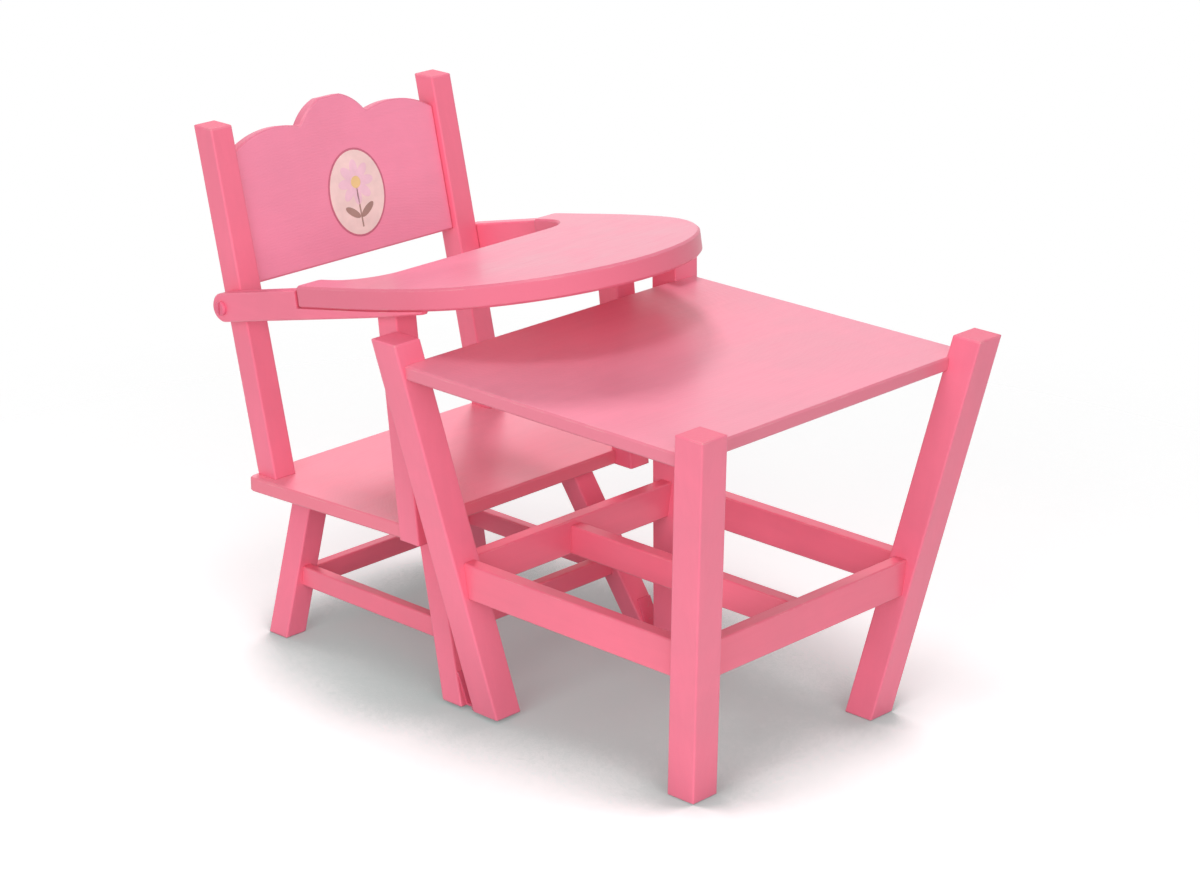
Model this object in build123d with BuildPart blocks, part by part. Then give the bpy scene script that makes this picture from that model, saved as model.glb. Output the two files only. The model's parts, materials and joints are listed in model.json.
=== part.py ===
from build123d import *
import math
import os

os.makedirs("parts", exist_ok=True)

# The origin lies on the floor, midway between the two halves' feet, under the fold line.
# X runs to the seated doll's left, Y to the back of the chair, Z up.

# Gaps and fits
rest_gap = 0.3
running_clearance = 0.05
glue_clearance = 0.05
bore_end_gap = 0.5

# Roundings and bevels of the wood
leg_round = 1.2
end_bevel = 0.9
board_bevel = 1.1
stretcher_bevel = 0.8

# Hinges at the feet
foot_gap = 10.3
knuckle_radius = 1.8
hinge_pin_radius = 1.0
hinge_width = 12.0
hinge_x = 85.5
leaf_thickness = 1.2
leaf_top_z = 23.0
knuckle_sides = 12
foot_lift = 0.15
knuckle_gap = 0.15
fold_axis_z = knuckle_radius
hinged_foot_z = fold_axis_z + foot_lift

# Table
table_leg_width = 22.0
table_foot_spacing = 170.0
table_leg_height = 257.0
table_leg_slope = 0.1688
table_tip_height = 14.0
table_board_thickness = 9.0
table_side_cover = 7.5
table_end_setback = 8.7
table_board_corner = 1.6
table_stretcher_low_z = 86.0
table_stretcher_height = 24.0
table_stretcher_thickness = 10.0
centre_rail_height = 20.0
table_dowel_stagger = 4.0

# Seat
seat_top_z = 121.0
seat_thickness = 10.0
seat_front_y = 46.0
seat_front_half_width = 106.5
seat_rear_half_width = 117.0
seat_corner = 5.0

# Back posts and panel; the panel's heights are measured along the posts from their tops
post_width = 18.0
post_x = 99.5
post_foot_y = 178.4
post_height = 231.0
seat_rear_overhang = 1.5
panel_thickness = 9.0
panel_low_drop = 108.8
panel_shoulder_drop = 21.5
panel_hump_drop = 10.8
panel_hump_x = 60.0
panel_dip_drop = 13.9
panel_dip_x = 30.0
panel_crest_side_drop = 3.1
panel_crest_side_x = 19.0
panel_crest_rise = 1.5
panel_crest_half_width = 9.0
panel_curve_round = 3.0
panel_bevel = 1.0

# Arm supports
support_foot_y = 41.0
support_slope = 0.1135

# Chair legs
chair_leg_width = 18.0
chair_foot_x = 88.0
chair_leg_top_x = 65.0
front_leg_top_y = 62.0
rear_leg_top_y = 179.3
rear_foot_y = 186.6
chair_stretcher_height = 14.0
chair_stretcher_thickness = 8.0
front_stretcher_low_z = 39.5
rear_stretcher_low_z = 30.0
side_stretcher_low_z = 36.0

# Arms and tray; lengths along them are measured from the pivot, which follows the table's top
pivot_below_table = 7.0
arm_slope = 0.24
arm_thickness = 11.0
arm_height = 19.4
arm_front_end = 190.0
arm_bevel = 1.0
tray_slope = 0.186
tray_under = 2.1
tray_thickness = 14.5
tray_rear = 77.0
tray_tip = 283.0
tray_bow = 154.0
tray_side_radius = 335.0
tray_corner = 4.0
tray_bevel = 1.5
belly_half_width = 97.0
belly_depth = 44.0
belly_corner = 30.0

# Pivot pins of the arms
pivot_pin_radius = 2.5
pivot_pin_depth = 13.0
pivot_head_radius = 4.8
pivot_head_height = 2.4
pivot_head_bevel = 0.9
pivot_slot_width = 1.2
pivot_slot_depth = 0.9
pivot_sides = 16

# Dowels
dowel_radius = 2.5
dowel_length = 12.0
dowel_sides = 8
panel_dowel_inset = 14.4

# Wood screws: head radius, head height, shank radius, length
screw_sides = 8
tray_screw = (3.2, 2.2, 1.6, 16.0)
seat_screw = (3.5, 2.4, 1.75, 30.0)
hinge_screw = (2.1, 1.1, 1.0, 9.0)
tray_screw_spots = (95.0, 150.0)
hinge_screw_heights = (10.5, 18.0)
seat_screw_shift = 2.5

# Positions that follow from the sizes
sides = ((1, "left"), (-1, "right"))
ends = ((1, "rear"), (-1, "front"))
table_foot_offset = table_foot_spacing / 2
table_top_z = table_leg_height - table_tip_height
table_board_half_x = table_foot_offset + table_leg_slope * table_top_z + table_side_cover
table_board_half_y = table_foot_offset + table_leg_slope * table_top_z - table_end_setback
table_centre_y = -(foot_gap / 2 + table_leg_width / 2 + table_foot_offset)
table_reach = -table_centre_y + table_foot_offset + table_leg_slope * table_leg_height + table_leg_width / 2
post_top_z = seat_top_z + post_height
post_slope = (table_reach - post_width / 2 - post_foot_y) / post_height
seat_under_z = seat_top_z - seat_thickness
seat_rear_y = post_foot_y + post_width / 2 + seat_rear_overhang
front_foot_y = foot_gap / 2 + chair_leg_width / 2
chair_slope_x = (chair_foot_x - chair_leg_top_x) / seat_under_z
front_leg_slope = (front_leg_top_y - front_foot_y) / seat_under_z
rear_leg_slope = (rear_leg_top_y - rear_foot_y) / seat_under_z
post_inner_x = post_x - post_width / 2
post_outer_x = post_x + post_width / 2
arm_inner_x = post_outer_x + rest_gap
arm_outer_x = arm_inner_x + arm_thickness
arm_half_height = arm_height / 2
pivot_z = table_top_z - pivot_below_table
pivot_rise = pivot_z - seat_top_z
pivot_y = post_foot_y + post_slope * pivot_rise
tray_straight_end = tray_tip - tray_bow


def table_leg_offset(z):
    return table_foot_offset + table_leg_slope * z


def table_inner_offset(z):
    return table_leg_offset(z) - table_leg_width / 2


def chair_leg_x(z):
    return chair_foot_x - chair_slope_x * z


def front_leg_y(z):
    return front_foot_y + front_leg_slope * z


def rear_leg_y(z):
    return rear_foot_y + rear_leg_slope * z


def post_y(z):
    return post_foot_y + post_slope * (z - seat_top_z)


def support_y(z):
    return support_foot_y + support_slope * (z - seat_top_z)


# Planes of the arms and of the tray: their origin is the pivot, their local Y runs back
arm_plane = Plane(origin=(0, pivot_y, pivot_z), x_dir=(1, 0, 0), z_dir=(0, arm_slope, 1))
tray_plane = Plane(origin=(0, pivot_y, pivot_z), x_dir=(1, 0, 0), z_dir=(0, tray_slope, 1))

# Plane of the back panel: its origin is the posts' tops, its local Y runs up along the posts
panel_plane = Plane(
    origin=(0, post_foot_y + post_slope * post_height, post_top_z),
    x_dir=(1, 0, 0),
    z_dir=(0, -1, post_slope),
)


def prism(radius, length, count, across_corners=True):
    with BuildPart() as shape:
        with BuildSketch():
            RegularPolygon(radius, count, major_radius=across_corners)
        extrude(amount=length / 2, both=True)
    return shape.part


def screw_shape(size, grow):
    head_radius, head_height, shank_radius, length = size
    with BuildPart() as screw:
        with BuildSketch():
            RegularPolygon(head_radius + grow, screw_sides)
        extrude(amount=-head_height - grow)
        with BuildSketch():
            RegularPolygon(shank_radius + grow, screw_sides)
        extrude(amount=-length - grow)
    return screw.part


def save(builder, name):
    builder.part.label = name
    export_step(builder.part, f"parts/{name}.step")


dowel_body = prism(dowel_radius, dowel_length, dowel_sides)
dowel_bore = prism(dowel_radius + glue_clearance, dowel_length + 2 * bore_end_gap, dowel_sides)


def bore_dowels(spots):
    for spot in spots:
        with Locations(spot):
            add(dowel_bore, mode=Mode.SUBTRACT)


def drive_holes(spots, hole):
    for spot in spots:
        with Locations(spot):
            add(hole, mode=Mode.SUBTRACT)


def save_set(name, spots, solid):
    with BuildPart() as group:
        for spot in spots:
            with Locations(spot):
                add(solid)
    save(group, name)


def bar_blank(foot, top, width):
    run = Vector(*top) - Vector(*foot)
    with BuildPart() as bar:
        with BuildSketch(Plane.XY.offset(foot[2])):
            with Locations((foot[0], foot[1])):
                Rectangle(width, width)
        extrude(amount=run.length, dir=run)
    return bar.part


def stretcher(name, plane, low_ends, high_ends, low_z, height, thickness, spots):
    along = plane.x_dir
    with BuildPart() as bar:
        with BuildSketch(plane):
            with BuildLine():
                Polyline(
                    (low_ends[0], low_z),
                    (low_ends[1], low_z),
                    (high_ends[1], low_z + height),
                    (high_ends[0], low_z + height),
                    close=True,
                )
            make_face()
        extrude(amount=thickness / 2, both=True)
        chamfer(bar.edges().filter_by(Axis((0, 0, 0), along)), stretcher_bevel)
        bore_dowels(spots)
    save(bar, name)


# Screws and the holes that take them
tray_screw_body = screw_shape(tray_screw, 0)
tray_screw_hole = screw_shape(tray_screw, glue_clearance)
seat_screw_body = screw_shape(seat_screw, 0)
seat_screw_hole = screw_shape(seat_screw, glue_clearance)
hinge_screw_body = screw_shape(hinge_screw, 0)
hinge_screw_hole = screw_shape(hinge_screw, glue_clearance)

# Places of the dowels and screws of the table
table_mid_z = table_stretcher_low_z + table_stretcher_height / 2
board_mid_z = table_top_z - table_board_thickness / 2
rail_mid_z = table_stretcher_low_z + centre_rail_height / 2
cross_dowel_z = table_mid_z + table_dowel_stagger
side_dowel_z = table_mid_z - table_dowel_stagger
table_dowel_spots = []
for side, side_name in sides:
    for end, end_name in ends:
        table_dowel_spots.append(
            Plane(
                origin=(
                    side * table_inner_offset(cross_dowel_z),
                    table_centre_y + end * table_leg_offset(table_mid_z),
                    cross_dowel_z,
                ),
                z_dir=(1, 0, 0),
            )
        )
        table_dowel_spots.append(
            Plane(
                origin=(
                    side * table_leg_offset(table_mid_z),
                    table_centre_y + end * table_inner_offset(side_dowel_z),
                    side_dowel_z,
                ),
                z_dir=(0, 1, 0),
            )
        )
        table_dowel_spots.append(
            Plane(
                origin=(
                    side * table_leg_offset(board_mid_z),
                    table_centre_y + end * table_inner_offset(board_mid_z),
                    board_mid_z,
                ),
                z_dir=(0, 1, 0),
            )
        )
rail_half_length = table_leg_offset(table_mid_z) - table_stretcher_thickness / 2
for end, end_name in ends:
    table_dowel_spots.append(
        Plane(origin=(0, table_centre_y + end * rail_half_length, rail_mid_z), z_dir=(0, 1, 0))
    )

# Places of the dowels of the chair
front_mid_z = front_stretcher_low_z + chair_stretcher_height / 2
rear_mid_z = rear_stretcher_low_z + chair_stretcher_height / 2
side_mid_z = side_stretcher_low_z + chair_stretcher_height / 2
seat_mid_z = seat_top_z - seat_thickness / 2
panel_dowel_drops = (panel_low_drop - panel_dowel_inset, panel_shoulder_drop + panel_dowel_inset)
chair_dowel_spots = []
for side, side_name in sides:
    for leg_y, mid_z in ((front_leg_y, front_mid_z), (rear_leg_y, rear_mid_z)):
        chair_dowel_spots.append(
            Plane(
                origin=(side * (chair_leg_x(mid_z) - chair_leg_width / 2), leg_y(mid_z), mid_z),
                z_dir=(1, 0, 0),
            )
        )
    for face_y in (
        front_leg_y(side_mid_z) + chair_leg_width / 2,
        rear_leg_y(side_mid_z) - chair_leg_width / 2,
    ):
        chair_dowel_spots.append(
            Plane(origin=(side * chair_leg_x(side_mid_z), face_y, side_mid_z), z_dir=(0, 1, 0))
        )
    for top_y in (front_leg_top_y, rear_leg_top_y):
        chair_dowel_spots.append(
            Plane(origin=(side * chair_leg_top_x, top_y, seat_under_z), z_dir=(0, 0, 1))
        )
    for drop in panel_dowel_drops:
        chair_dowel_spots.append(
            Plane(
                origin=panel_plane.from_local_coords(Vector(side * post_inner_x, -drop, 0)),
                z_dir=(1, 0, 0),
            )
        )
    chair_dowel_spots.append(
        Plane(
            origin=(side * post_x, support_y(seat_mid_z) + post_width / 2, seat_mid_z),
            z_dir=(0, 1, 0),
        )
    )

# Places of the screws
seat_screw_spots = [
    Plane(origin=(side * post_x, post_foot_y + seat_screw_shift, seat_under_z), z_dir=(0, 0, -1))
    for side, side_name in sides
]
arm_mid_x = (arm_inner_x + arm_outer_x) / 2
arm_under_plane = arm_plane.offset(-arm_half_height)
tray_screw_spots_in_space = [
    Plane(
        origin=arm_under_plane.from_local_coords(Vector(side * arm_mid_x, -along, 0)),
        z_dir=-arm_plane.z_dir,
    )
    for side, side_name in sides
    for along in tray_screw_spots
]
table_face_normal = Vector(0, 1, -table_leg_slope).normalized()
chair_face_normal = Vector(0, -1, front_leg_slope).normalized()


def table_face_y(z):
    return -foot_gap / 2 + table_leg_slope * z


def chair_face_y(z):
    return foot_gap / 2 + front_leg_slope * z


table_hinge_screw_spots = [
    Plane(
        origin=Vector(side * hinge_x, table_face_y(z), z) + table_face_normal * leaf_thickness,
        z_dir=table_face_normal,
    )
    for side, side_name in sides
    for z in hinge_screw_heights
]
chair_hinge_screw_spots = [
    Plane(
        origin=Vector(side * hinge_x, chair_face_y(z), z) + chair_face_normal * leaf_thickness,
        z_dir=chair_face_normal,
    )
    for side, side_name in sides
    for z in hinge_screw_heights
]
pivot_spots = [
    Plane(origin=(side * arm_outer_x, pivot_y, pivot_z), z_dir=(side, 0, 0)) for side, side_name in sides
]

# Table legs: the rear pair carries the hinges and ends just above the hinge axis
table_leg_blanks = {}
for side, side_name in sides:
    for end, end_name in ends:
        foot_z = hinged_foot_z if end > 0 else 0
        foot_point = (side * table_leg_offset(foot_z), table_centre_y + end * table_leg_offset(foot_z), foot_z)
        tip_point = (
            side * table_leg_offset(table_leg_height),
            table_centre_y + end * table_leg_offset(table_leg_height),
            table_leg_height,
        )
        table_leg_blanks[end_name, side_name] = bar_blank(foot_point, tip_point, table_leg_width)

for (end_name, side_name), blank in table_leg_blanks.items():
    with BuildPart() as table_leg:
        add(blank)
        leg_faces = table_leg.faces().sort_by(Axis.Z)
        chamfer(leg_faces[0].edges() + leg_faces[-1].edges(), end_bevel)
        fillet(table_leg.edges().sort_by(SortBy.LENGTH)[-4:], leg_round)
        bore_dowels(table_dowel_spots)
        drive_holes(table_hinge_screw_spots, hinge_screw_hole)
    save(table_leg, f"table_leg_{end_name}_{side_name}")

# Table board, notched around the four legs
with BuildPart() as table_board:
    with BuildSketch(Plane.XY.offset(table_top_z - table_board_thickness)):
        with Locations((0, table_centre_y)):
            RectangleRounded(2 * table_board_half_x, 2 * table_board_half_y, table_board_corner)
    extrude(amount=table_board_thickness)
    board_faces = table_board.faces().sort_by(Axis.Z)
    chamfer(board_faces[0].edges() + board_faces[-1].edges(), board_bevel)
    for blank in table_leg_blanks.values():
        add(blank, mode=Mode.SUBTRACT)
    bore_dowels(table_dowel_spots)
save(table_board, "table_board")

# Table stretchers and centre rail
table_stretcher_high_z = table_stretcher_low_z + table_stretcher_height
low_half = table_inner_offset(table_stretcher_low_z)
high_half = table_inner_offset(table_stretcher_high_z)
for end, end_name in ends:
    stretcher(
        f"table_stretcher_{end_name}",
        Plane.XZ.offset(-(table_centre_y + end * table_leg_offset(table_mid_z))),
        (-low_half, low_half),
        (-high_half, high_half),
        table_stretcher_low_z,
        table_stretcher_height,
        table_stretcher_thickness,
        table_dowel_spots,
    )
for side, side_name in sides:
    stretcher(
        f"table_stretcher_{side_name}",
        Plane.YZ.offset(side * table_leg_offset(table_mid_z)),
        (table_centre_y - low_half, table_centre_y + low_half),
        (table_centre_y - high_half, table_centre_y + high_half),
        table_stretcher_low_z,
        table_stretcher_height,
        table_stretcher_thickness,
        table_dowel_spots,
    )
stretcher(
    "table_centre_rail",
    Plane.YZ,
    (table_centre_y - rail_half_length, table_centre_y + rail_half_length),
    (table_centre_y - rail_half_length, table_centre_y + rail_half_length),
    table_stretcher_low_z,
    centre_rail_height,
    table_stretcher_thickness,
    table_dowel_spots,
)

# Chair legs: the front pair carries the hinges and ends just above the hinge axis
for end, end_name in ends:
    foot_z = 0 if end > 0 else hinged_foot_z
    leg_y = rear_leg_y if end > 0 else front_leg_y
    for side, side_name in sides:
        chair_leg_blank = bar_blank(
            (side * chair_leg_x(foot_z), leg_y(foot_z), foot_z),
            (side * chair_leg_top_x, leg_y(seat_under_z), seat_under_z),
            chair_leg_width,
        )
        with BuildPart() as chair_leg:
            add(chair_leg_blank)
            chamfer(chair_leg.faces().sort_by(Axis.Z)[0].edges(), end_bevel)
            fillet(chair_leg.edges().sort_by(SortBy.LENGTH)[-4:], leg_round)
            bore_dowels(chair_dowel_spots)
            drive_holes(chair_hinge_screw_spots, hinge_screw_hole)
        save(chair_leg, f"chair_leg_{end_name}_{side_name}")

# Chair stretchers
for end_name, leg_y, low_z in (
    ("front", front_leg_y, front_stretcher_low_z),
    ("rear", rear_leg_y, rear_stretcher_low_z),
):
    low_half = chair_leg_x(low_z) - chair_leg_width / 2
    high_half = chair_leg_x(low_z + chair_stretcher_height) - chair_leg_width / 2
    stretcher(
        f"chair_stretcher_{end_name}",
        Plane.XZ.offset(-leg_y(low_z + chair_stretcher_height / 2)),
        (-low_half, low_half),
        (-high_half, high_half),
        low_z,
        chair_stretcher_height,
        chair_stretcher_thickness,
        chair_dowel_spots,
    )
side_stretcher_high_z = side_stretcher_low_z + chair_stretcher_height
for side, side_name in sides:
    stretcher(
        f"chair_stretcher_{side_name}",
        Plane.YZ.offset(side * chair_leg_x(side_mid_z)),
        (
            front_leg_y(side_stretcher_low_z) + chair_leg_width / 2,
            rear_leg_y(side_stretcher_low_z) - chair_leg_width / 2,
        ),
        (
            front_leg_y(side_stretcher_high_z) + chair_leg_width / 2,
            rear_leg_y(side_stretcher_high_z) - chair_leg_width / 2,
        ),
        side_stretcher_low_z,
        chair_stretcher_height,
        chair_stretcher_thickness,
        chair_dowel_spots,
    )

# Arm supports, their tops cut parallel to the underside of the tray
support_top_z = pivot_z + arm_slope * (pivot_y - support_foot_y)
support_blanks = {}
for side, side_name in sides:
    support_blanks[side_name] = bar_blank(
        (side * post_x, support_y(seat_under_z), seat_under_z),
        (side * post_x, support_y(support_top_z), support_top_z),
        post_width,
    )
for side_name, blank in support_blanks.items():
    with BuildPart() as arm_support:
        add(blank)
        split(bisect_by=tray_plane.offset(tray_under - rest_gap / 2), keep=Keep.BOTTOM)
        fillet(arm_support.edges().sort_by(SortBy.LENGTH)[-4:], leg_round)
        bore_dowels(chair_dowel_spots)
    save(arm_support, f"arm_support_{side_name}")

# Seat board, notched around the feet of the arm supports
with BuildPart() as seat:
    with BuildSketch(Plane.XY.offset(seat_under_z)) as seat_outline:
        with BuildLine():
            Polyline(
                (-seat_front_half_width, seat_front_y),
                (seat_front_half_width, seat_front_y),
                (seat_rear_half_width, seat_rear_y),
                (-seat_rear_half_width, seat_rear_y),
                close=True,
            )
        make_face()
        fillet(seat_outline.vertices(), seat_corner)
    extrude(amount=seat_thickness)
    seat_faces = seat.faces().sort_by(Axis.Z)
    chamfer(seat_faces[0].edges() + seat_faces[-1].edges(), board_bevel)
    for blank in support_blanks.values():
        add(blank, mode=Mode.SUBTRACT)
    bore_dowels(chair_dowel_spots)
    drive_holes(seat_screw_spots, seat_screw_hole)
save(seat, "seat_board")

# Back posts with bores for the pivot pins
post_pin_bore = prism(pivot_pin_radius + glue_clearance, 2 * (pivot_pin_depth + bore_end_gap), pivot_sides)
for side, side_name in sides:
    post_blank = bar_blank(
        (side * post_x, post_foot_y, seat_top_z),
        (side * post_x, post_y(post_top_z), post_top_z),
        post_width,
    )
    with BuildPart() as post:
        add(post_blank)
        chamfer(post.faces().sort_by(Axis.Z)[-1].edges(), end_bevel)
        fillet(post.edges().sort_by(SortBy.LENGTH)[-4:], leg_round)
        bore_dowels(chair_dowel_spots)
        drive_holes(seat_screw_spots, seat_screw_hole)
        with Locations(Plane(origin=(side * post_outer_x, pivot_y, pivot_z), z_dir=(side, 0, 0))):
            add(post_pin_bore, mode=Mode.SUBTRACT)
    save(post, f"back_post_{side_name}")

# Back panel with its scalloped top edge, leaning with the posts
with BuildPart() as back_panel:
    with BuildSketch(panel_plane) as panel_outline:
        with BuildLine():
            Line((-post_inner_x, -panel_low_drop), (post_inner_x, -panel_low_drop))
            Line((-panel_crest_half_width, panel_crest_rise), (panel_crest_half_width, panel_crest_rise))
            for side, side_name in sides:
                shoulder = (side * post_inner_x, -panel_shoulder_drop)
                dip = (side * panel_dip_x, -panel_dip_drop)
                Line((side * post_inner_x, -panel_low_drop), shoulder)
                ThreePointArc(shoulder, (side * panel_hump_x, -panel_hump_drop), dip)
                ThreePointArc(
                    dip,
                    (side * panel_crest_side_x, -panel_crest_side_drop),
                    (side * panel_crest_half_width, panel_crest_rise),
                )
        make_face()
        dips = panel_outline.vertices().sort_by(lambda corner: abs(corner.Y + panel_dip_drop))[:2]
        crest_corners = panel_outline.vertices().group_by(Axis.Y)[-1]
        fillet(dips + crest_corners, panel_curve_round)
    extrude(amount=panel_thickness / 2, both=True)
    bore_dowels(chair_dowel_spots)
    panel_faces = back_panel.faces().sort_by(SortBy.AREA)[-2:]
    chamfer(panel_faces[0].edges() + panel_faces[1].edges(), panel_bevel)
save(back_panel, "back_panel")


# Front of the tray: a flat arc on each side runs smoothly into one arc round the nose
side_centre_x = arm_outer_x - tray_side_radius
nose_radius = (tray_side_radius**2 - side_centre_x**2 - tray_bow**2) / (2 * (tray_side_radius - tray_bow))
join_angle = math.atan2(tray_bow - nose_radius, -side_centre_x)


def tray_side_point(side, angle):
    across = side * (side_centre_x + tray_side_radius * math.cos(angle))
    return (across, -(tray_straight_end + tray_side_radius * math.sin(angle)))


def tray_outline(rear):
    with BuildSketch() as outline:
        with BuildLine():
            Line((-arm_outer_x, -rear), (arm_outer_x, -rear))
            ThreePointArc(tray_side_point(1, join_angle), (0, -tray_tip), tray_side_point(-1, join_angle))
            for side, side_name in sides:
                Line((side * arm_outer_x, -rear), tray_side_point(side, 0))
                ThreePointArc(
                    tray_side_point(side, 0),
                    tray_side_point(side, join_angle / 2),
                    tray_side_point(side, join_angle),
                )
        make_face()
    return outline.sketch


arm_and_tray_outline = tray_outline(-arm_half_height)
tray_only_outline = tray_outline(tray_rear)


# Arms, halved under the tray and turning on the pins in the posts
arm_pin_bore = prism(pivot_pin_radius + running_clearance, 2 * arm_thickness, pivot_sides, False)
for side, side_name in sides:
    with BuildPart() as arm:
        with BuildSketch(arm_under_plane):
            add(arm_and_tray_outline)
            with Locations((side * arm_mid_x, (arm_half_height - arm_front_end) / 2)):
                Rectangle(arm_thickness, arm_half_height + arm_front_end, mode=Mode.INTERSECT)
        extrude(amount=arm_height)
        with BuildSketch(tray_plane.offset(tray_under)):
            with Locations((side * arm_mid_x, -(tray_rear + tray_tip) / 2)):
                Rectangle(2 * arm_thickness, tray_tip - tray_rear)
        extrude(amount=2 * arm_height, mode=Mode.SUBTRACT)
        rear_edges = arm.edges().filter_by(Axis.X).sort_by(Axis.Y)[-2:]
        fillet(rear_edges, arm_half_height - running_clearance)
        chamfer(arm.edges().filter_by(Axis((0, 0, 0), arm_plane.y_dir)), arm_bevel)
        with Locations(Plane(origin=(side * arm_mid_x, pivot_y, pivot_z), z_dir=(side, 0, 0))):
            add(arm_pin_bore, mode=Mode.SUBTRACT)
        drive_holes(tray_screw_spots_in_space, tray_screw_hole)
    save(arm, f"arm_{side_name}")

# Tray board with a cut-out for the doll
with BuildPart() as tray:
    with BuildSketch(tray_plane.offset(tray_under)) as tray_face:
        add(tray_only_outline)
        with Locations((0, -tray_rear)):
            RectangleRounded(2 * belly_half_width, 2 * belly_depth, belly_corner, mode=Mode.SUBTRACT)
        fillet(tray_face.vertices().group_by(Axis.Y)[-1], tray_corner)
    extrude(amount=tray_thickness)
    tray_faces = tray.faces().sort_by(SortBy.AREA)[-2:]
    chamfer(tray_faces[0].edges() + tray_faces[1].edges(), tray_bevel)
    drive_holes(tray_screw_spots_in_space, tray_screw_hole)
save(tray, "tray_board")

# Pivot pins with slotted heads
pivot_pin_length = running_clearance + arm_thickness + rest_gap + pivot_pin_depth
with BuildPart() as pivot_pin:
    with BuildSketch(Plane.XY.offset(running_clearance)):
        RegularPolygon(pivot_head_radius, pivot_sides)
    extrude(amount=pivot_head_height)
    chamfer(pivot_pin.edges().group_by(Axis.Z)[-1], pivot_head_bevel)
    with Locations((0, 0, running_clearance - pivot_pin_length / 2)):
        add(prism(pivot_pin_radius, pivot_pin_length, pivot_sides))
    with Locations((0, 0, running_clearance + pivot_head_height)):
        Box(2 * pivot_head_radius, pivot_slot_width, 2 * pivot_slot_depth, mode=Mode.SUBTRACT)
save_set("pivot_pins", pivot_spots, pivot_pin.part)


hinge_pin_body = prism(hinge_pin_radius, hinge_width, knuckle_sides)
hinge_pin_bore = prism(hinge_pin_radius + running_clearance, 2 * hinge_width, knuckle_sides, False)


# Hinge leaves: a plate on the leg's face and a tongue that runs to the knuckles
def hinge_leaf(name, face_y, slope, direction, screw_spots, outer_knuckles):
    tongue_top_z = fold_axis_z + knuckle_radius
    tongue_low_z = tongue_top_z - leaf_thickness
    plate = direction * leaf_thickness * math.sqrt(1 + slope**2)
    knuckle_share = hinge_width / 3
    clear_reach = knuckle_radius + rest_gap
    with BuildPart() as leaf:
        with BuildSketch(Plane.YZ.offset(-hinge_width / 2)):
            with BuildLine():
                Polyline(
                    (face_y(tongue_low_z), tongue_low_z),
                    (0, tongue_low_z),
                    (0, tongue_top_z),
                    (face_y(tongue_top_z) + plate, tongue_top_z),
                    (face_y(leaf_top_z) + plate, leaf_top_z),
                    (face_y(leaf_top_z), leaf_top_z),
                    close=True,
                )
            make_face()
            with Locations((0, fold_axis_z)):
                RegularPolygon(knuckle_radius, knuckle_sides)
        extrude(amount=hinge_width)
        cut_places = (0,) if outer_knuckles else (-knuckle_share, knuckle_share)
        cut_width = knuckle_share + 2 * knuckle_gap
        for place in cut_places:
            with Locations((place, 0, fold_axis_z)):
                Box(cut_width, 2 * clear_reach, 2 * clear_reach, mode=Mode.SUBTRACT)
        with Locations(Plane(origin=(0, 0, fold_axis_z), z_dir=(1, 0, 0))):
            add(hinge_pin_bore, mode=Mode.SUBTRACT)
    for side, side_name in sides:
        with BuildPart() as placed_leaf:
            with Locations((side * hinge_x, 0, 0)):
                add(leaf.part)
            drive_holes(screw_spots, hinge_screw_hole)
        save(placed_leaf, f"{name}_{side_name}")


hinge_leaf("table_hinge_leaf", table_face_y, table_leg_slope, 1, table_hinge_screw_spots, True)
hinge_leaf("chair_hinge_leaf", chair_face_y, front_leg_slope, -1, chair_hinge_screw_spots, False)

# Hinge pins, dowels and screws
hinge_pin_spots = [
    Plane(origin=(side * hinge_x, 0, fold_axis_z), z_dir=(1, 0, 0)) for side, side_name in sides
]
save_set("hinge_pins", hinge_pin_spots, hinge_pin_body)
save_set("table_dowels", table_dowel_spots, dowel_body)
save_set("chair_dowels", chair_dowel_spots, dowel_body)
save_set("seat_screws", seat_screw_spots, seat_screw_body)
save_set("tray_screws", tray_screw_spots_in_space, tray_screw_body)
save_set("table_hinge_screws", table_hinge_screw_spots, hinge_screw_body)
save_set("chair_hinge_screws", chair_hinge_screw_spots, hinge_screw_body)
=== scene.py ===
import json
import math

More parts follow.
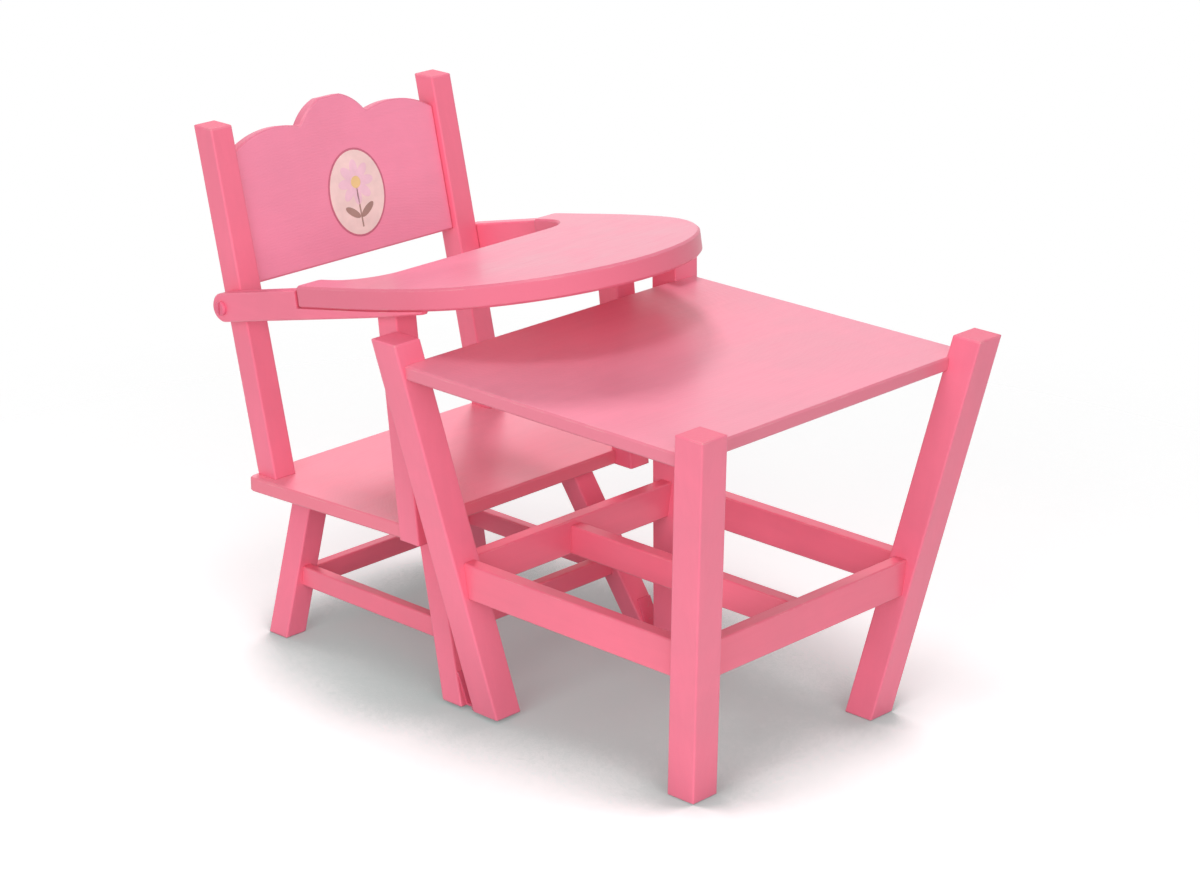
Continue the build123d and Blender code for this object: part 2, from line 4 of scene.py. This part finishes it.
import bmesh
import bpy
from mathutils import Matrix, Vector

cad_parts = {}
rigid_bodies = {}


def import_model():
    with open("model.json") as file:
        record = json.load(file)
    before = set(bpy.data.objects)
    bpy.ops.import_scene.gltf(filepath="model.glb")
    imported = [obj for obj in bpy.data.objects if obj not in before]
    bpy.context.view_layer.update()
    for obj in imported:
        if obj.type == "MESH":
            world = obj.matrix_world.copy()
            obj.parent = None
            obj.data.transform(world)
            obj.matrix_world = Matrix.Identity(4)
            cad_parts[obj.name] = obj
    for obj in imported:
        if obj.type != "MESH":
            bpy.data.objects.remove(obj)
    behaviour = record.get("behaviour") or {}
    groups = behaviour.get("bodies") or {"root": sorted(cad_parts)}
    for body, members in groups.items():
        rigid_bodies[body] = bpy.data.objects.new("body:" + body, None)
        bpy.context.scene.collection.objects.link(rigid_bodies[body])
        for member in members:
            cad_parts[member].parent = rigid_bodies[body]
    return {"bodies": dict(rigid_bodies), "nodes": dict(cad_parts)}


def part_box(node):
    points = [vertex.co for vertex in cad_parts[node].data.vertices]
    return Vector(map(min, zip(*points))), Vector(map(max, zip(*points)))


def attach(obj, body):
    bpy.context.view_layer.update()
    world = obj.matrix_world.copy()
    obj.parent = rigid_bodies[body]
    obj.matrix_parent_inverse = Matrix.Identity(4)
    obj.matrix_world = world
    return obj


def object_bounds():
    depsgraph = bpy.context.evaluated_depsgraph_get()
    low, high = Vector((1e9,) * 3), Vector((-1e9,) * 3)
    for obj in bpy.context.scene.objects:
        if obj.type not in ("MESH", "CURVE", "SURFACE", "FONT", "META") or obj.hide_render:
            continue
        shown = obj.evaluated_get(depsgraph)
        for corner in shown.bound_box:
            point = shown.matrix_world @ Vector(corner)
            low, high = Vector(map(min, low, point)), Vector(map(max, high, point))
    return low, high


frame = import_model()
cad_low, cad_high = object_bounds()
scene = bpy.context.scene
scene.view_settings.view_transform = "Standard"


# Camera, fitted to the table in the photograph: where it stands, the way it looks, its lens
camera_place = (-1.4810, -1.4460, 0.9073)
camera_azimuth = math.radians(-46.208)
camera_elevation = math.radians(19.771)
camera_lens = 101.19
camera_sensor_width = 36

camera_data = bpy.data.cameras.new("photo_camera")
camera_data.lens = camera_lens
camera_data.sensor_width = camera_sensor_width
camera = bpy.data.objects.new("photo_camera", camera_data)
scene.collection.objects.link(camera)
camera.location = camera_place
camera_back = Vector((
    math.sin(camera_azimuth) * math.cos(camera_elevation),
    -math.cos(camera_azimuth) * math.cos(camera_elevation),
    math.sin(camera_elevation),
))
camera.rotation_mode = "QUATERNION"
camera.rotation_quaternion = (-camera_back).to_track_quat("-Z", "Y")
scene.camera = camera


# Lean of the chair's back, measured on a post
post_width = 0.018
post_low, post_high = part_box("back_post_left")
lean = (post_high.y - post_low.y - post_width) / (post_high.z - post_low.z)
lean_stretch = math.sqrt(1 + lean * lean)
back_up = Vector((0, lean, 1)) / lean_stretch
back_out = Vector((0, -1, lean)) / lean_stretch


# Helpers for node trees
def add_node(tree, kind, **values):
    node = tree.nodes.new(kind)
    for name, value in values.items():
        setattr(node, name, value)
    return node


def set_inputs(node, **values):
    for name, value in values.items():
        node.inputs[name.replace("_", " ")].default_value = value
    return node


# Gives a socket its value: another node's output, a colour or a number
def feed(tree, socket, value):
    if isinstance(value, bpy.types.NodeSocket):
        tree.links.new(value, socket)
    elif isinstance(value, tuple):
        socket.default_value = (*value, 1.0)
    else:
        socket.default_value = value


def maths(tree, operation, *values, clamp=False):
    node = add_node(tree, "ShaderNodeMath", operation=operation, use_clamp=clamp)
    for socket, value in zip(node.inputs, values):
        feed(tree, socket, value)
    return node.outputs[0]


# Turns a value from low to high into one from to_low to to_high, and stops at both ends
def between(tree, value, low, high, to_low=0.0, to_high=1.0, soft=False):
    curve = "SMOOTHSTEP" if soft else "LINEAR"
    node = add_node(tree, "ShaderNodeMapRange", interpolation_type=curve)
    feed(tree, node.inputs["Value"], value)
    set_inputs(node, From_Min=low, From_Max=high)
    feed(tree, node.inputs["To Min"], to_low)
    feed(tree, node.inputs["To Max"], to_high)
    return node.outputs["Result"]


def mix_colour(tree, share, first, second):
    node = add_node(tree, "ShaderNodeMix", data_type="RGBA")
    factor, first_colour, second_colour = node.inputs[0], node.inputs[6], node.inputs[7]
    feed(tree, factor, share)
    feed(tree, first_colour, first)
    feed(tree, second_colour, second)
    return node.outputs[2]


def seen_by_eye_or_gloss(tree):
    rays = add_node(tree, "ShaderNodeLightPath")
    direct = maths(tree, "ADD", rays.outputs["Is Camera Ray"], rays.outputs["Is Glossy Ray"])
    return maths(tree, "ADD", direct, rays.outputs["Is Transmission Ray"], clamp=True)


def new_group(name, inputs, outputs):
    group = bpy.data.node_groups.new(name, "ShaderNodeTree")
    for socket, kind, value in inputs:
        group.interface.new_socket(socket, in_out="INPUT", socket_type=kind).default_value = value
    for socket, kind in outputs:
        group.interface.new_socket(socket, in_out="OUTPUT", socket_type=kind)
    return group, group.nodes.new("NodeGroupInput"), group.nodes.new("NodeGroupOutput")


# Wood grain that shows through the paint, stretched along the board
def make_grain():
    group, given, result = new_group(
        "grain_under_paint",
        [("Stretch", "NodeSocketVector", (60.0, 60.0, 5.0)), ("Wander", "NodeSocketFloat", 0.6)],
        [("Lines", "NodeSocketFloat"), ("Pores", "NodeSocketFloat")],
    )
    place = add_node(group, "ShaderNodeTexCoord")
    stretched = add_node(group, "ShaderNodeVectorMath", operation="MULTIPLY")
    group.links.new(place.outputs["Object"], stretched.inputs[0])
    group.links.new(given.outputs["Stretch"], stretched.inputs[1])
    lines = add_node(group, "ShaderNodeTexNoise")
    set_inputs(lines, Scale=1.6, Detail=5.0, Roughness=0.62, Lacunarity=2.1)
    group.links.new(stretched.outputs[0], lines.inputs["Vector"])
    group.links.new(given.outputs["Wander"], lines.inputs["Distortion"])
    pores = add_node(group, "ShaderNodeTexNoise")
    set_inputs(pores, Scale=9.0, Detail=2.0, Roughness=0.5)
    group.links.new(stretched.outputs[0], pores.inputs["Vector"])
    group.links.new(between(group, lines.outputs[0], low=0.3, high=0.7), result.inputs["Lines"])
    group.links.new(between(group, pores.outputs[0], low=0.52, high=0.68), result.inputs["Pores"])
    return group


# Fine orange peel and soft clouds of the sprayed and rolled paint
def make_paint_film():
    group, given, result = new_group(
        "paint_film",
        [("Peel size", "NodeSocketFloat", 900.0), ("Cloud size", "NodeSocketFloat", 14.0)],
        [("Peel", "NodeSocketFloat"), ("Cloud", "NodeSocketFloat")],
    )
    place = add_node(group, "ShaderNodeTexCoord")
    peel = add_node(group, "ShaderNodeTexNoise")
    set_inputs(peel, Detail=1.5, Roughness=0.4)
    cloud = add_node(group, "ShaderNodeTexNoise")
    set_inputs(cloud, Detail=3.0, Roughness=0.55, Distortion=0.3)
    for texture, size in ((peel, "Peel size"), (cloud, "Cloud size")):
        group.links.new(place.outputs["Object"], texture.inputs["Vector"])
        group.links.new(given.outputs[size], texture.inputs["Scale"])
    group.links.new(peel.outputs[0], result.inputs["Peel"])
    group.links.new(between(group, cloud.outputs[0], low=0.32, high=0.68), result.inputs["Cloud"])
    return group


# Rounded edges: the edge line, where it is worn in patches, and the normal that rounds it
def make_edge_wear():
    group, given, result = new_group(
        "edge_wear",
        [("Width", "NodeSocketFloat", 0.0012), ("Breakup", "NodeSocketFloat", 70.0)],
        [("Edge", "NodeSocketFloat"), ("Worn", "NodeSocketFloat"), ("Rounded", "NodeSocketVector")],
    )
    rounded = add_node(group, "ShaderNodeBevel", samples=6)
    group.links.new(given.outputs["Width"], rounded.inputs["Radius"])
    surface = add_node(group, "ShaderNodeNewGeometry")
    match = add_node(group, "ShaderNodeVectorMath", operation="DOT_PRODUCT")
    group.links.new(rounded.outputs[0], match.inputs[0])
    group.links.new(surface.outputs["Normal"], match.inputs[1])
    edge = between(group, match.outputs["Value"], low=0.995, high=0.86)
    place = add_node(group, "ShaderNodeTexCoord")
    patches = add_node(group, "ShaderNodeTexNoise")
    set_inputs(patches, Detail=4.0, Roughness=0.6)
    group.links.new(place.outputs["Object"], patches.inputs["Vector"])
    group.links.new(given.outputs["Breakup"], patches.inputs["Scale"])
    broken = between(group, patches.outputs[0], low=0.5, high=0.62)
    group.links.new(edge, result.inputs["Edge"])
    group.links.new(rounded.outputs[0], result.inputs["Rounded"])
    group.links.new(maths(group, "MULTIPLY", edge, broken, clamp=True), result.inputs["Worn"])
    return group


# End is 1 on faces that look along the given way, and Rings are the year rings on them
def make_end_grain():
    group, given, result = new_group(
        "end_grain",
        [("Along", "NodeSocketVector", (0.0, 0.0, 1.0))],
        [("End", "NodeSocketFloat"), ("Rings", "NodeSocketFloat")],
    )
    surface = add_node(group, "ShaderNodeNewGeometry")
    match = add_node(group, "ShaderNodeVectorMath", operation="DOT_PRODUCT")
    group.links.new(surface.outputs["True Normal"], match.inputs[0])
    group.links.new(given.outputs["Along"], match.inputs[1])
    facing = between(group, maths(group, "ABSOLUTE", match.outputs["Value"]), low=0.8, high=0.93)
    place = add_node(group, "ShaderNodeTexCoord")
    rings = add_node(group, "ShaderNodeTexWave", wave_type="RINGS", rings_direction="SPHERICAL")
    set_inputs(rings, Scale=160.0, Distortion=6.0, Detail=2.0)
    group.links.new(place.outputs["Object"], rings.inputs["Vector"])
    group.links.new(facing, result.inputs["End"])
    group.links.new(maths(group, "MULTIPLY", facing, rings.outputs[1]), result.inputs["Rings"])
    return group


grain_under_paint = make_grain()
paint_film = make_paint_film()
edge_wear = make_edge_wear()
end_grain = make_end_grain()


def place_group(tree, group, **values):
    return set_inputs(add_node(tree, "ShaderNodeGroup", node_tree=group), **values)


def new_material(name):
    material = bpy.data.materials.new(name)
    material.use_nodes = True
    tree = material.node_tree
    return material, tree, tree.nodes["Principled BSDF"]


def tone(colour, factor):
    return tuple(min(1.0, part * factor) for part in colour)


def clouded(tree, film, colour, dark, pale):
    return mix_colour(tree, film.outputs["Cloud"], tone(colour, dark), tone(colour, pale))


def raise_surface(tree, shader, height, strength, distance, over=None):
    bump = set_inputs(add_node(tree, "ShaderNodeBump"), Strength=strength, Distance=distance)
    tree.links.new(height, bump.inputs["Height"])
    if over:
        tree.links.new(over, bump.inputs["Normal"])
    tree.links.new(bump.outputs[0], shader.inputs["Normal"])


# Paint on wood: how much each effect shows, and what it does to the paint's colour
grain_share = 0.16
grain_dark = 0.78
# Soaked: the ends of bars soak up paint and turn darker; the rims of boards are darker from soaked
# paint and from painted shade on their side faces
soak_and_shade_tint = (0.86, 0.68, 0.7)
soaked_end_share = 0.5
soaked_and_shaded_rim_share = 0.9
# A painted highlight: the paint is paler along the rounded edges
edge_highlight_share = 0.18
edge_highlight_pale = 1.15
rubbed_share = 0.4
rubbed_colour = (0.86, 0.62, 0.55)

# Paint on wood: what each effect adds to its roughness and its height
cloud_polish = 0.05
cloud_dulling = 0.07
pore_dulling = 0.06
sawn_dulling = 0.12
line_height = 0.7
peel_height = 0.22
pore_depth = 0.25
ring_height = 0.5


# A bar soaks up paint at its two ends. A board, whose broad faces look along face, is darker at its
# rims, partly from soaked paint and partly from painted shade
def painted_wood(name, colour, stretch, along, roughness=0.42, face=None):
    material, tree, shader = new_material(name)
    grain = place_group(tree, grain_under_paint, Stretch=stretch)
    film = place_group(tree, paint_film)
    worn = place_group(tree, edge_wear)
    ends = place_group(tree, end_grain, Along=face or along)
    lines, pores = grain.outputs["Lines"], grain.outputs["Pores"]
    sawn = maths(tree, "SUBTRACT", 1.0, ends.outputs["End"]) if face else ends.outputs["End"]
    soak_and_shade_share = soaked_and_shaded_rim_share if face else soaked_end_share
    soak_and_shade_colour = tuple(part * tint for part, tint in zip(colour, soak_and_shade_tint))
    paint = clouded(tree, film, colour, dark=0.94, pale=1.04)
    grain_seen = maths(tree, "MULTIPLY", lines, grain_share)
    paint = mix_colour(tree, grain_seen, paint, tone(colour, grain_dark))
    # Darker at a bar's ends from soaked paint, and at a board's rims from soaked paint and painted
    # shade
    soak_and_shade_seen = maths(tree, "MULTIPLY", sawn, soak_and_shade_share)
    paint = mix_colour(tree, soak_and_shade_seen, paint, soak_and_shade_colour)
    # Paler along the edges: a painted highlight
    edge_highlight_seen = maths(tree, "MULTIPLY", worn.outputs["Edge"], edge_highlight_share)
    paint = mix_colour(tree, edge_highlight_seen, paint, tone(colour, edge_highlight_pale))
    rubbed_seen = maths(tree, "MULTIPLY", worn.outputs["Worn"], rubbed_share)
    tree.links.new(mix_colour(tree, rubbed_seen, paint, rubbed_colour), shader.inputs["Base Color"])
    polished, dulled = roughness - cloud_polish, roughness + cloud_dulling
    dull = between(tree, film.outputs["Cloud"], 0.0, 1.0, polished, dulled)
    dull = maths(tree, "MULTIPLY_ADD", pores, pore_dulling, dull)
    dull = maths(tree, "MULTIPLY_ADD", sawn, sawn_dulling, dull)
    tree.links.new(dull, shader.inputs["Roughness"])
    height = maths(tree, "MULTIPLY", film.outputs["Peel"], peel_height)
    height = maths(tree, "MULTIPLY_ADD", lines, line_height, height)
    height = maths(tree, "SUBTRACT", height, maths(tree, "MULTIPLY", pores, pore_depth))
    height = maths(tree, "MULTIPLY_ADD", ends.outputs["Rings"], ring_height, height)
    rounded = worn.outputs["Rounded"]
    raise_surface(tree, shader, height, strength=0.55, distance=0.00014, over=rounded)
    set_inputs(shader, Specular_IOR_Level=0.5, Coat_Weight=0.25, Coat_Roughness=0.22)
    return material


def painted_steel(name, colour, chip_colour=(0.5, 0.48, 0.46), chip_share=0.7):
    material, tree, shader = new_material(name)
    film = place_group(tree, paint_film, Peel_size=1500.0, Cloud_size=60.0)
    worn = place_group(tree, edge_wear, Width=0.0004, Breakup=400.0)
    paint = clouded(tree, film, colour, dark=0.92, pale=1.04)
    chipped = maths(tree, "MULTIPLY", worn.outputs["Worn"], chip_share)
    tree.links.new(mix_colour(tree, chipped, paint, chip_colour), shader.inputs["Base Color"])
    tree.links.new(chipped, shader.inputs["Metallic"])
    dull = between(tree, film.outputs["Cloud"], 0.0, 1.0, to_low=0.32, to_high=0.45)
    tree.links.new(dull, shader.inputs["Roughness"])
    raise_surface(tree, shader, film.outputs["Peel"], strength=0.3, distance=0.00005)
    return material


def bare_steel(name, colour, roughness, polish=0.06, dulling=0.1, edge_polish=0.08):
    material, tree, shader = new_material(name)
    film = place_group(tree, paint_film, Peel_size=2600.0, Cloud_size=180.0)
    worn = place_group(tree, edge_wear, Width=0.0003, Breakup=600.0)
    tree.links.new(clouded(tree, film, colour, dark=0.82, pale=1.08), shader.inputs["Base Color"])
    dull = between(tree, film.outputs["Cloud"], 0.0, 1.0, roughness - polish, roughness + dulling)
    polished_edge = maths(tree, "MULTIPLY", worn.outputs["Edge"], edge_polish)
    tree.links.new(maths(tree, "SUBTRACT", dull, polished_edge), shader.inputs["Roughness"])
    raise_surface(tree, shader, film.outputs["Peel"], strength=0.25, distance=0.00003)
    set_inputs(shader, Metallic=1.0)
    return material


def bare_wood(name, pale, dark, stretch, pore_share=0.4, pore_dark=0.6):
    material, tree, shader = new_material(name)
    grain = place_group(tree, grain_under_paint, Stretch=stretch, Wander=1.2)
    lined = mix_colour(tree, grain.outputs["Lines"], pale, dark)
    pored = maths(tree, "MULTIPLY", grain.outputs["Pores"], pore_share)
    wood = mix_colour(tree, pored, lined, tone(dark, pore_dark))
    tree.links.new(wood, shader.inputs["Base Color"])
    dull = between(tree, grain.outputs["Lines"], 0.0, 1.0, to_low=0.55, to_high=0.7)
    tree.links.new(dull, shader.inputs["Roughness"])
    raise_surface(tree, shader, grain.outputs["Lines"], strength=0.5, distance=0.0001)
    return material


def printed_ink(name, colour, line_share=0.12, line_dark=0.8):
    material, tree, shader = new_material(name)
    film = place_group(tree, paint_film, Peel_size=1400.0, Cloud_size=90.0)
    grain = place_group(tree, grain_under_paint, Stretch=along_width[0])
    ink = clouded(tree, film, colour, dark=0.93, pale=1.05)
    lined = maths(tree, "MULTIPLY", grain.outputs["Lines"], line_share)
    ink = mix_colour(tree, lined, ink, tone(colour, line_dark))
    tree.links.new(ink, shader.inputs["Base Color"])
    dull = between(tree, film.outputs["Peel"], low=0.3, high=0.7, to_low=0.34, to_high=0.46)
    tree.links.new(dull, shader.inputs["Roughness"])
    raise_surface(tree, shader, grain.outputs["Lines"], strength=0.4, distance=0.00008)
    return material


# Colours of the paint, as linear values. It is one pink paint: the level boards, the seat and the
# panel get paler copies as painted light, and the tray, the legs, the arms and the rails get
# darker, redder copies as painted shade
lit_board_pink = (0.91, 0.29, 0.395)
shaded_tray_pink = (0.88, 0.24, 0.35)
lit_seat_pink = (0.95, 0.285, 0.38)
lit_panel_pink = (0.96, 0.295, 0.44)
shaded_leg_pink = (0.93, 0.19, 0.295)
shaded_rail_pink = (0.90, 0.17, 0.26)
hinge_pink = (0.80, 0.14, 0.24)

# Grain along the height, the width or the depth: how it stretches, and the way that it runs
along_height = ((70.0, 70.0, 5.0), (0.0, 0.0, 1.0))
along_width = ((5.0, 70.0, 70.0), (1.0, 0.0, 0.0))
along_depth = ((70.0, 5.0, 70.0), (0.0, 1.0, 0.0))

# Ways that the broad faces of the boards look
level_face = (0.0, 0.0, 1.0)
leaning_face = tuple(back_out)

leg_paint = painted_wood("leg_paint", shaded_leg_pink, *along_height)
board_paint = painted_wood("board_paint", lit_board_pink, *along_width, roughness=0.38, face=level_face)
tray_paint = painted_wood("tray_paint", shaded_tray_pink, *along_width, roughness=0.36, face=level_face)
seat_paint = painted_wood("seat_paint", lit_seat_pink, *along_width, roughness=0.4, face=level_face)
panel_paint = painted_wood("panel_paint", lit_panel_pink, *along_width, face=leaning_face)
cross_rail_paint = painted_wood("cross_rail_paint", shaded_rail_pink, *along_width)
side_rail_paint = painted_wood("side_rail_paint", shaded_rail_pink, *along_depth)
arm_paint = painted_wood("arm_paint", shaded_leg_pink, *along_depth)
hinge_paint = painted_steel("hinge_paint", hinge_pink)
screw_zinc = bare_steel("screw_zinc", (0.62, 0.61, 0.60), roughness=0.34)
pin_steel = bare_steel("pin_steel", (0.58, 0.58, 0.59), roughness=0.28)
dowel_beech = bare_wood("dowel_beech", (0.62, 0.42, 0.24), (0.46, 0.28, 0.14), along_width[0])

# Starts of the nodes' names for each finish
finishes = (
    (leg_paint, ("table_leg", "back_post", "arm_support", "chair_leg")),
    (arm_paint, ("arm_left", "arm_right")),
    (board_paint, ("table_board",)),
    (tray_paint, ("tray_board",)),
    (seat_paint, ("seat_board",)),
    (panel_paint, ("back_panel",)),
    (cross_rail_paint, ("table_stretcher_front", "table_stretcher_rear")),
    (cross_rail_paint, ("chair_stretcher_front", "chair_stretcher_rear")),
    (side_rail_paint, ("table_stretcher_left", "table_stretcher_right", "table_centre_rail")),
    (side_rail_paint, ("chair_stretcher_left", "chair_stretcher_right")),
    (hinge_paint, ("table_hinge", "chair_hinge", "pivot_pins")),
    (screw_zinc, ("tray_screws", "seat_screws")),
    (pin_steel, ("hinge_pins",)),
    (dowel_beech, ("table_dowels", "chair_dowels")),
)
for finish, starts in finishes:
    for node_name, node_object in frame["nodes"].items():
        if node_name.startswith(starts):
            node_object.data.materials.clear()
            node_object.data.materials.append(finish)


# Printed medallion on the backrest: a plain daisy of the maker's own on a pale oval
panel_thickness = 0.009
print_thickness = 0.00008
medallion_centre_x = 0.009
medallion_height = 0.287
panel_centre_y = post_low.y + post_width / 2 + lean * (medallion_height - post_low.z)
panel_centre = Vector((medallion_centre_x, panel_centre_y, medallion_height))
medallion_centre = panel_centre + back_out * (panel_thickness / 2)


def print_point(across, up, layer):
    on_panel = medallion_centre + Vector((1, 0, 0)) * across + back_up * up
    return on_panel + back_out * (layer * print_thickness)


# Each outline becomes a thin closed slab, whose front lies on the given layer
def print_shape(name, outlines, layer, material):
    shape = bmesh.new()
    for outline in outlines:
        front = [shape.verts.new(print_point(across, up, layer)) for across, up in outline]
        back = [shape.verts.new(print_point(across, up, layer - 1)) for across, up in outline]
        shape.faces.new(front)
        shape.faces.new(list(reversed(back)))
        for start in range(len(outline)):
            following = (start + 1) % len(outline)
            shape.faces.new((front[following], front[start], back[start], back[following]))
    bmesh.ops.recalc_face_normals(shape, faces=shape.faces)
    mesh = bpy.data.meshes.new(name)
    shape.to_mesh(mesh)
    shape.free()
    mesh.materials.append(material)
    piece = bpy.data.objects.new(name, mesh)
    scene.collection.objects.link(piece)
    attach(piece, "chair")


def oval(centre, half_width, half_height, turn=0.0, points=48):
    outline = []
    for step in range(points):
        angle = 2 * math.pi * step / points
        across, up = half_width * math.cos(angle), half_height * math.sin(angle)
        outline.append((
            centre[0] + across * math.cos(turn) - up * math.sin(turn),
            centre[1] + across * math.sin(turn) + up * math.cos(turn),
        ))
    return outline


cream_ink = printed_ink("cream_ink", (0.95, 0.72, 0.68))
petal_ink = printed_ink("petal_ink", (0.93, 0.62, 0.72))
heart_ink = printed_ink("heart_ink", (0.92, 0.66, 0.30))
leaf_ink = printed_ink("leaf_ink", (0.42, 0.26, 0.22))
ring_ink = printed_ink("ring_ink", (0.62, 0.16, 0.24))

# Sizes of the print, measured across and up from the medallion's centre
oval_half_width = 0.024
oval_half_height = 0.029
ring_width_share = 1.06
ring_height_share = 1.05
stem_outline = ((-0.0006, 0.004), (0.0006, 0.004), (0.0011, -0.024), (-0.0001, -0.024))
leaf_across = 0.0065
leaf_up = -0.013
leaf_half_length = 0.0072
leaf_half_width = 0.0026
leaf_turn = 0.6
flower_centre = (0, 0.007)
petal_count = 8
petal_reach = 0.0095
petal_half_length = 0.0062
petal_half_width = 0.0034
heart_radius = 0.0042
small_oval_points = 20
heart_points = 24

ring = oval((0, 0), oval_half_width * ring_width_share, oval_half_height * ring_height_share)
leaves = []
for side in (-1, 1):
    leaf_centre = (side * leaf_across, leaf_up)
    turn = side * leaf_turn
    leaves.append(oval(leaf_centre, leaf_half_length, leaf_half_width, turn, small_oval_points))
print_shape("print_ring", [ring], 1, ring_ink)
print_shape("print_ground", [oval((0, 0), oval_half_width, oval_half_height)], 2, cream_ink)
print_shape("print_stem", [stem_outline], 3, leaf_ink)
print_shape("print_leaves", leaves, 3, leaf_ink)
for parity in (0, 1):
    petals = []
    for step in range(parity, petal_count, 2):
        angle = 2 * math.pi * step / petal_count
        petal_centre = (
            flower_centre[0] + petal_reach * math.cos(angle),
            flower_centre[1] + petal_reach * math.sin(angle),
        )
        petals.append(
            oval(petal_centre, petal_half_length, petal_half_width, angle, small_oval_points)
        )
    print_shape(f"print_petals_{parity}", petals, 3 + parity, petal_ink)
heart = oval(flower_centre, heart_radius, heart_radius, points=heart_points)
print_shape("print_heart", [heart], 5, heart_ink)


# Floor: its half size, how far it is solid and where it has faded out, and its gap to the feet
floor_half_size = 0.9
floor_clear_from = 0.36
floor_clear_to = 0.8
floor_gap = 0.0002
floor_tones = ((0.92, 0.925, 0.925), (0.94, 0.945, 0.945))
floor_glow = 0.42

# Shade on the floor: how far it looks for the object, how open the sky is at its rim and in its
# middle, and its colour, which evens out the pink light under the object
shade_reach = 0.3
shade_rim_openness = 0.76
shade_full_openness = 0.58
shade_colour = (0.44, 0.60, 0.57)
shade_glow = 0.14


def floor_material():
    material, tree, shader = new_material("floor_white")
    place = add_node(tree, "ShaderNodeTexCoord")
    from_centre = add_node(tree, "ShaderNodeVectorMath", operation="LENGTH")
    tree.links.new(place.outputs["Object"], from_centre.inputs[0])
    faint = add_node(tree, "ShaderNodeTexNoise")
    set_inputs(faint, Scale=40.0, Detail=3.0)
    tree.links.new(place.outputs["Object"], faint.inputs["Vector"])
    open_white = mix_colour(tree, faint.outputs[0], *floor_tones)
    sky_above = add_node(tree, "ShaderNodeAmbientOcclusion", samples=20)
    set_inputs(sky_above, Distance=shade_reach)
    openness = sky_above.outputs["AO"]
    shaded = between(tree, openness, shade_rim_openness, shade_full_openness, soft=True)
    tree.links.new(mix_colour(tree, shaded, open_white, shade_colour), shader.inputs["Base Color"])
    set_inputs(shader, Roughness=0.8, Specular_IOR_Level=0.1, Emission_Color=(1.0, 1.0, 1.0, 1.0))
    glow = between(tree, shaded, 0.0, 1.0, floor_glow, shade_glow)
    seen_glow = maths(tree, "MULTIPLY", seen_by_eye_or_gloss(tree), glow)
    tree.links.new(seen_glow, shader.inputs["Emission Strength"])
    clear = add_node(tree, "ShaderNodeBsdfTransparent")
    fading = add_node(tree, "ShaderNodeMixShader")
    faded = between(tree, from_centre.outputs["Value"], floor_clear_from, floor_clear_to)
    tree.links.new(faded, fading.inputs[0])
    tree.links.new(shader.outputs[0], fading.inputs[1])
    tree.links.new(clear.outputs[0], fading.inputs[2])
    tree.links.new(fading.outputs[0], tree.nodes["Material Output"].inputs["Surface"])
    return material


floor_corners = [
    (across * floor_half_size, along * floor_half_size, 0)
    for across, along in ((-1, -1), (1, -1), (1, 1), (-1, 1))
]
floor_mesh = bpy.data.meshes.new("floor")
floor_mesh.from_pydata(floor_corners, [], [(0, 1, 2, 3)])
floor_mesh.materials.append(floor_material())
floor = bpy.data.objects.new("floor", floor_mesh)
scene.collection.objects.link(floor)
floor.location.z = cad_low.z - floor_gap


# The floor sinks with the lowest end of the table's legs when the table folds under the chair
def keep_floor_below(name, place):
    point = bpy.data.objects.new(name, None)
    scene.collection.objects.link(point)
    point.parent = frame["bodies"]["table"]
    point.location = place
    stop = floor.constraints.new("FLOOR")
    stop.target = point
    stop.floor_location = "FLOOR_NEGATIVE_Z"


leg_low, leg_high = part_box("table_leg_front_left")
leg_points = [vertex.co for vertex in frame["nodes"]["table_leg_front_left"].data.vertices]
foot_front_y = min(point.y for point in leg_points if point.z < leg_low.z + floor_gap)
keep_floor_below("table_foot_point", (0, foot_front_y, leg_low.z - floor_gap))
keep_floor_below("table_tip_point", (0, leg_low.y, leg_high.z + floor_gap))


# World: white to the eye and in gloss, and a plain level of light for all else
world_light = 0.36
world = bpy.data.worlds.new("studio")
world.use_nodes = True
scene.world = world
sky = world.node_tree
background = sky.nodes["Background"]
background.inputs["Color"].default_value = (1.0, 1.0, 1.0, 1.0)
world_strength = between(sky, seen_by_eye_or_gloss(sky), 0.0, 1.0, to_low=world_light, to_high=1.0)
sky.links.new(world_strength, background.inputs["Strength"])


def softbox(name, place, target, size, power, in_gloss=False):
    lamp = bpy.data.lights.new(name, "AREA")
    lamp.shape = "RECTANGLE"
    lamp.size, lamp.size_y = size
    lamp.energy = power
    holder = bpy.data.objects.new(name, lamp)
    scene.collection.objects.link(holder)
    holder.location = place
    holder.visible_glossy = in_gloss
    holder.rotation_mode = "QUATERNION"
    holder.rotation_quaternion = (Vector(target) - Vector(place)).to_track_quat("-Z", "Y")
    return holder


small = (0.6, 0.6)
large = (1.4, 1.1)
softbox("top_softbox", (-0.32, -0.2, 2.2), target=(0, 0, 0.1), size=small, power=8, in_gloss=True)
softbox("front_softbox", (-0.9, -1.9, 0.9), target=(0, 0, 0.2), size=large, power=17)
softbox("side_softbox", (-2.0, -0.5, 0.9), target=(0, 0, 0.2), size=large, power=19.5)

# The key lamp, behind the chair, gives the tray's shadow on the table and leaves the floor out
key_across = 1.18
key_behind = 1.39
table_top_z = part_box("table_board")[1].z
key_place = (key_across, key_behind, table_top_z + key_behind)
key = softbox("key_softbox", key_place, target=(0, 0, table_top_z), size=(0.4, 0.4), power=28)
floor_only = bpy.data.collections.new("floor_only")
floor_only.objects.link(floor)
floor_only.collection_objects[0].light_linking.link_state = "EXCLUDE"
key.light_linking.receiver_collection = floor_only
